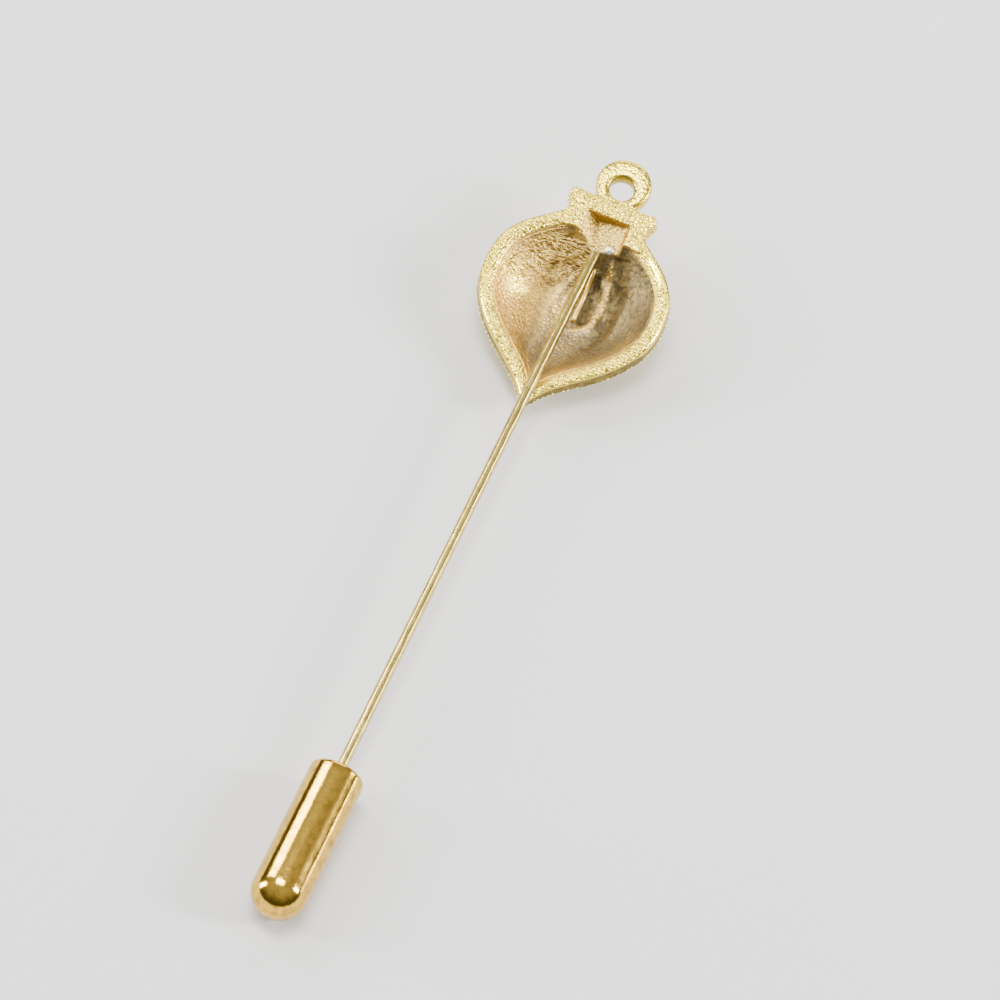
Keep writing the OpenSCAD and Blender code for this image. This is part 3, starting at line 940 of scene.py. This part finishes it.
class OBJECT_OT_bead_row(bpy.types.Operator):
    """Makes the row of small beads on the line round the drop's front"""

    bl_idname = "object.pin_bead_row"
    bl_label = "Bead row"

    # Shares of a bead's step or size
    jitter = 0.12
    smallest = 0.72
    largest = 1.08
    flat = 0.85
    # In millimetres
    proud = 0.02
    raised = 0.18
    ahead = 0.1
    seed = 7

    def execute(self, context):
        look = context.scene.pin_cast
        draw = random.Random(self.seed)
        step = look.bead_step / MM
        line = self.bead_line()
        gaps = np.hypot(*np.diff(line, axis=0).T)
        length = np.concatenate([[0], np.cumsum(gaps)])
        model = self.one_bead(context, look.bead / MM)
        beads = []
        for spot in np.arange(0.5 * step, length[-1], step):
            spot += draw.uniform(-self.jitter, self.jitter) * step
            size = draw.uniform(self.smallest, self.largest)
            x, y = [np.interp(spot, length, line[:, i]) for i in (0, 1)]
            further = [np.interp(spot + self.ahead, length, line[:, i]) for i in (0, 1)]
            way = np.array(further) - (x, y)
            out = np.array([way[1], -way[0]]) / max(1e-6, np.hypot(*way))
            height = float(side_z(y)) + self.raised
            centre = (x + self.proud * out[0], y + self.proud * out[1], height)
            bead = model.copy()
            bead.data = model.data.copy()
            context.collection.objects.link(bead)
            bead.data.transform(Matrix.Translation(centre) @ Matrix.Scale(size, 4))
            beads.append(bead)
        bpy.data.objects.remove(model)
        row = self.join(context, beads)
        place(row, DROP)
        bpy.ops.object.shade_smooth()
        # The beads' pale gold, paler than the rim's, is a painted highlight that makes them show as
        # bright white points
        material = bright_material("bead_gold", (1.0, 0.92, 0.68), (0.85, 0.62, 0.25), 0.28)
        finish_piece(row, "pin", "cast_gold", material)
        return {"FINISHED"}

    def bead_line(self):
        """The drop's outline from just above one shoulder, round the tip, to just above the other."""
        half = SIDE_LINE[1 : SHOULDER_I + 4]
        return np.concatenate([half[::-1] * [-1, 1], half[1:]])

    def one_bead(self, context, radius):
        clear_selection()
        bpy.ops.mesh.primitive_ico_sphere_add(subdivisions=2, radius=radius)
        model = context.active_object
        edit(model)
        bpy.ops.transform.resize(value=(1, 1, self.flat))
        leave()
        return model

    def join(self, context, beads):
        clear_selection()
        for bead in beads:
            bead.select_set(True)
        context.view_layer.objects.active = beads[0]
        bpy.ops.object.join()
        row = context.active_object
        row.name = row.data.name = "bead_row"
        return row


class OBJECT_OT_rib(bpy.types.Operator):
    """Makes the straight rib on the hollow's floor, right of the wire"""

    bl_idname = "object.pin_rib"
    bl_label = "Rib"

    # In millimetres, in the drop's own frame
    side = 0.55
    top_y = -2.35
    step = 0.2
    count = 24
    radius = 0.19
    proud = 0.07
    ray_z = -0.9
    deepest = -2.9

    def execute(self, context):
        course = np.arange(self.count)
        places_y = np.linspace(self.top_y, self.top_y - self.step * (self.count - 1), self.count)
        heights = self.floor_heights(places_y)
        profile = [(0.0, 0.0)]
        for i in range(self.count):
            taper = min(1, 0.45 + i / 5, 0.6 + (self.count - 1 - i) / 2)
            profile.append((self.radius * taper, self.step * i))
        profile.append((0.0, self.step * (self.count - 1) + 0.03))
        rib = turned("rib", profile, steps=14)
        points = read_points(rib)
        t = points[:, 2] / self.step
        x = points[:, 0] + self.side
        y = np.interp(t, course, places_y)
        z = points[:, 1] + np.interp(t, course, heights) + self.proud
        write_points(rib, np.c_[x, y, z])
        edit(rib)
        bpy.ops.mesh.normals_make_consistent(inside=False)
        leave()
        place(rib, DROP)
        material = bright_material("rib_gold", (0.97, 0.70, 0.16), (0.80, 0.52, 0.12), 0.32)
        finish_piece(rib, "pin", "cast_gold", material)
        return {"FINISHED"}

    def floor_heights(self, places_y):
        """Heights of the hollow's floor under the rib, smoothed over seven places."""
        drop = bpy.data.objects["cast_drop"]
        inverse = DROP.inverted()
        down = (DROP.to_3x3() @ Vector((0, 0, -1))).normalized()
        heights = []
        for y in places_y:
            start = DROP @ Vector((self.side, y, self.ray_z)) * MM
            hit, where, normal, index = drop.ray_cast(start, down)
            heights.append((inverse @ (where / MM)).z if hit else self.deepest)
        return np.convolve(np.pad(heights, 3, mode="edge"), np.ones(7) / 7, mode="valid")


class OBJECT_OT_wire(bpy.types.Operator):
    """Makes the drawn wire from its soldered end to its point"""

    bl_idname = "object.pin_wire"
    bl_label = "Wire"

    # In millimetres along the wire or from its middle
    sunk = 0.3
    swell_len = 16.3
    step = 0.6
    slim = 0.02
    point_r = 0.05

    def execute(self, context):
        look = context.scene.pin_wire
        radius = look.radius / MM
        wire = turned("wire", self.outline(radius, look.swell / MM), steps=40)
        self.draw_unevenly(wire, radius)
        place(wire, along_wire(0))
        finish_piece(wire, "pin", "cast_gold", wire_material(look), "ornament")
        return {"FINISHED"}

    def outline(self, radius, swell):
        """Radii and lengths from the soldered end: a thicker root, the shaft and the sharpened point."""
        root = radius + swell
        profile = [(0.0, -self.sunk), (0.6 * root, -self.sunk), (root, -0.05)]
        for s in np.arange(0.4, self.swell_len, self.step):
            profile.append((radius + swell * (1 - s / self.swell_len), float(s)))
        for s in np.arange(self.swell_len + 0.2, STEM_FREE, self.step):
            profile.append((radius, float(s)))
        end = STEM_FREE + STEM_IN
        profile.append((radius, STEM_FREE - 0.2))
        profile.append((radius - self.slim, end - POINT_LEN))
        profile += [(self.point_r, end), (0, end)]
        return profile

    def draw_unevenly(self, wire, radius):
        """Gives the shaft the slight waves of drawn wire, but not its root or its end in the clutch."""
        points = read_points(wire)
        along = points[:, 2]
        turn = np.arctan2(points[:, 1], points[:, 0])
        uneven = 0.006 * np.sin(1.9 * along + 2 * turn) + 0.005 * np.sin(3.3 * along - turn + 1)
        uneven *= ramp(along, 0, 2) * (1 - ramp(along, STEM_FREE - 4, STEM_FREE - 1))
        points[:, :2] *= (1 + uneven / radius)[:, None]
        write_points(wire, points)


class OBJECT_OT_solder(bpy.types.Operator):
    """Makes the bead of solder on the lip"""

    bl_idname = "object.pin_solder"
    bl_label = "Solder"

    # In millimetres, in the drop's own frame
    centre = (1.1, -0.94, -0.98)
    radius = 0.4
    stretch = (1.08, 0.95, 0.95)

    def execute(self, context):
        clear_selection()
        bpy.ops.mesh.primitive_ico_sphere_add(subdivisions=4, radius=self.radius, location=self.centre)
        bead = context.active_object
        bead.name = bead.data.name = "solder_bead"
        edit(bead)
        bpy.ops.transform.resize(value=self.stretch)
        leave()
        place(bead, DROP)
        bpy.ops.object.shade_smooth()
        material = bright_material("solder", (0.97, 0.95, 0.86), (0.93, 0.86, 0.66), 0.5)
        finish_piece(bead, "pin", "cast_gold", material)
        return {"FINISHED"}


class OBJECT_OT_clutch(bpy.types.Operator):
    """Makes the polished bullet clutch with its blind bore"""

    bl_idname = "object.pin_clutch"
    bl_label = "Clutch"

    def execute(self, context):
        look = context.scene.pin_clutch
        profile = self.outline(look.radius / MM, look.length / MM, look.shoulder / MM)
        clutch = turned("clutch_shell", profile, steps=96)
        place(clutch, along_wire(STEM_FREE))
        finish_piece(clutch, "clutch", "clutch_gold", clutch_material(look), "clutch")
        return {"FINISHED"}

    def outline(self, radius, length, edge):
        """Radii and lengths from the bore's bottom, over its mouth and the shoulder, to the nose."""
        profile = [(0.0, BORE_DEPTH), (BORE_R, BORE_DEPTH), (BORE_R, 0.5 * BORE_DEPTH)]
        profile += [(BORE_R, BORE_MOUTH), (BORE_R + BORE_MOUTH, 0.0), (1.3, 0.0)]
        for a in range(0, 91, 10):
            turn = math.radians(a)
            profile.append((radius - edge + edge * math.sin(turn), edge * (1 - math.cos(turn))))
        for s in np.linspace(edge + 0.6, length - radius - 0.3, 8):
            profile.append((radius, float(s)))
        for a in range(0, 91, 5):
            turn = math.radians(a)
            profile.append((radius * math.cos(turn), length - radius + radius * math.sin(turn)))
        return profile


class SCENE_OT_stage(bpy.types.Operator):
    """Makes the floor, the lights, the world and the camera"""

    bl_idname = "scene.pin_stage"
    bl_label = "Stage"

    def execute(self, context):
        look = context.scene.pin_stage
        self.floor(context, look)
        for lamp in LAMPS:
            self.lamp(context, lamp)
        self.sky(context, look)
        self.camera(context, look)
        return {"FINISHED"}

    def floor(self, context, look):
        clear_selection()
        bpy.ops.mesh.primitive_plane_add(size=3, location=(0, 0, 0))
        floor = context.active_object
        floor.name = floor.data.name = "floor"
        floor.data.materials.append(floor_material(look))

    def lamp(self, context, row):
        """Adds a flat lamp that faces the origin, with its first side along the row's direction."""
        spot = Vector(row.place)
        along = Vector(row.along)
        bpy.ops.object.light_add(type="AREA", location=spot)
        lamp = context.active_object
        lamp.name = lamp.data.name = row.name
        lamp.data.shape = "RECTANGLE"
        lamp.data.size, lamp.data.size_y = row.size
        lamp.data.energy = row.power
        back = spot.normalized()
        across = (along - along.dot(back) * back).normalized()
        turn = Matrix((across, back.cross(across), back)).transposed().to_4x4()
        lamp.matrix_world = Matrix.Translation(spot) @ turn

    def sky(self, context, look):
        """Gives the world a soft light that is brightest overhead."""
        world = bpy.data.worlds.new("studio")
        world.use_nodes = True
        tree = world.node_tree
        sky = tree.nodes["Background"]
        way = node(tree, "ShaderNodeTexCoord").outputs["Generated"]
        high = node(tree, "ShaderNodeSeparateXYZ", {0: way}).outputs[2]
        share = node(
            tree, "ShaderNodeMapRange", {"Value": high, "From Min": 0.15, "From Max": 0.95},
            interpolation_type="SMOOTHSTEP",
        ).outputs[0]
        feed(tree, sky.inputs["Color"], mix_colour(tree, share, (0.16, 0.16, 0.17), (1.0, 1.0, 1.0)))
        sky.inputs["Strength"].default_value = look.sky
        context.scene.world = world

    def camera(self, context, look):
        """Aims the camera at its target from its azimuth and elevation, and then rolls it."""
        a, e, r = look.azimuth, look.elevation, look.roll
        back = Vector((math.sin(a) * math.cos(e), -math.cos(a) * math.cos(e), math.sin(e)))
        right = Vector((math.cos(a), math.sin(a), 0))
        up = back.cross(right)
        across = math.cos(r) * right - math.sin(r) * up
        upright = math.sin(r) * right + math.cos(r) * up
        turn = Matrix((across, upright, back)).transposed().to_4x4()
        clear_selection()
        bpy.ops.object.camera_add()
        camera = context.active_object
        camera.name = camera.data.name = "camera"
        camera.data.sensor_width = SENSOR
        camera.data.lens = LENS_SHARE * SENSOR
        camera.data.clip_start = 0.01
        camera.data.clip_end = 20
        camera.matrix_world = Matrix.Translation(Vector(look.target) + look.away * back) @ turn
        context.scene.camera = camera


class VIEW3D_PT_stick_pin(bpy.types.Panel):
    """Lists the pieces of the stick pin"""

    bl_idname = "VIEW3D_PT_stick_pin"
    bl_label = "Stick pin"
    bl_space_type = "VIEW_3D"
    bl_region_type = "UI"
    bl_category = "Stick pin"

    def draw(self, context):
        for name, steps in GROUPS:
            box = self.layout.box()
            settings = getattr(context.scene, name)
            for key in type(settings).__annotations__:
                box.prop(settings, key)
            for step in steps:
                box.operator(step.bl_idname)


GROUPS = (
    ("pin_stage", (SCENE_OT_stage,)),
    ("pin_cast", (OBJECT_OT_cast_drop, OBJECT_OT_bead_row, OBJECT_OT_rib)),
    ("pin_wire", (OBJECT_OT_wire, OBJECT_OT_solder)),
    ("pin_clutch", (OBJECT_OT_clutch,)),
)
SETTINGS = {
    "pin_stage": StageSettings,
    "pin_cast": CastSettings,
    "pin_wire": WireSettings,
    "pin_clutch": ClutchSettings,
}
STEPS = [step for name, steps in GROUPS for step in steps]


def register():
    for kind in (*SETTINGS.values(), *STEPS, VIEW3D_PT_stick_pin):
        bpy.utils.register_class(kind)
    for name, kind in SETTINGS.items():
        setattr(bpy.types.Scene, name, bpy.props.PointerProperty(type=kind))


def unregister():
    for name in SETTINGS:
        delattr(bpy.types.Scene, name)
    for kind in (VIEW3D_PT_stick_pin, *reversed(STEPS), *SETTINGS.values()):
        bpy.utils.unregister_class(kind)


def main():
    register()
    bpy.ops.scene.pin_stage()
    bpy.ops.object.pin_cast_drop()
    bpy.ops.object.pin_bead_row()
    bpy.ops.object.pin_rib()
    bpy.ops.object.pin_wire()
    bpy.ops.object.pin_solder()
    bpy.ops.object.pin_clutch()
    clear_selection()


if __name__ == "__main__":
    main()
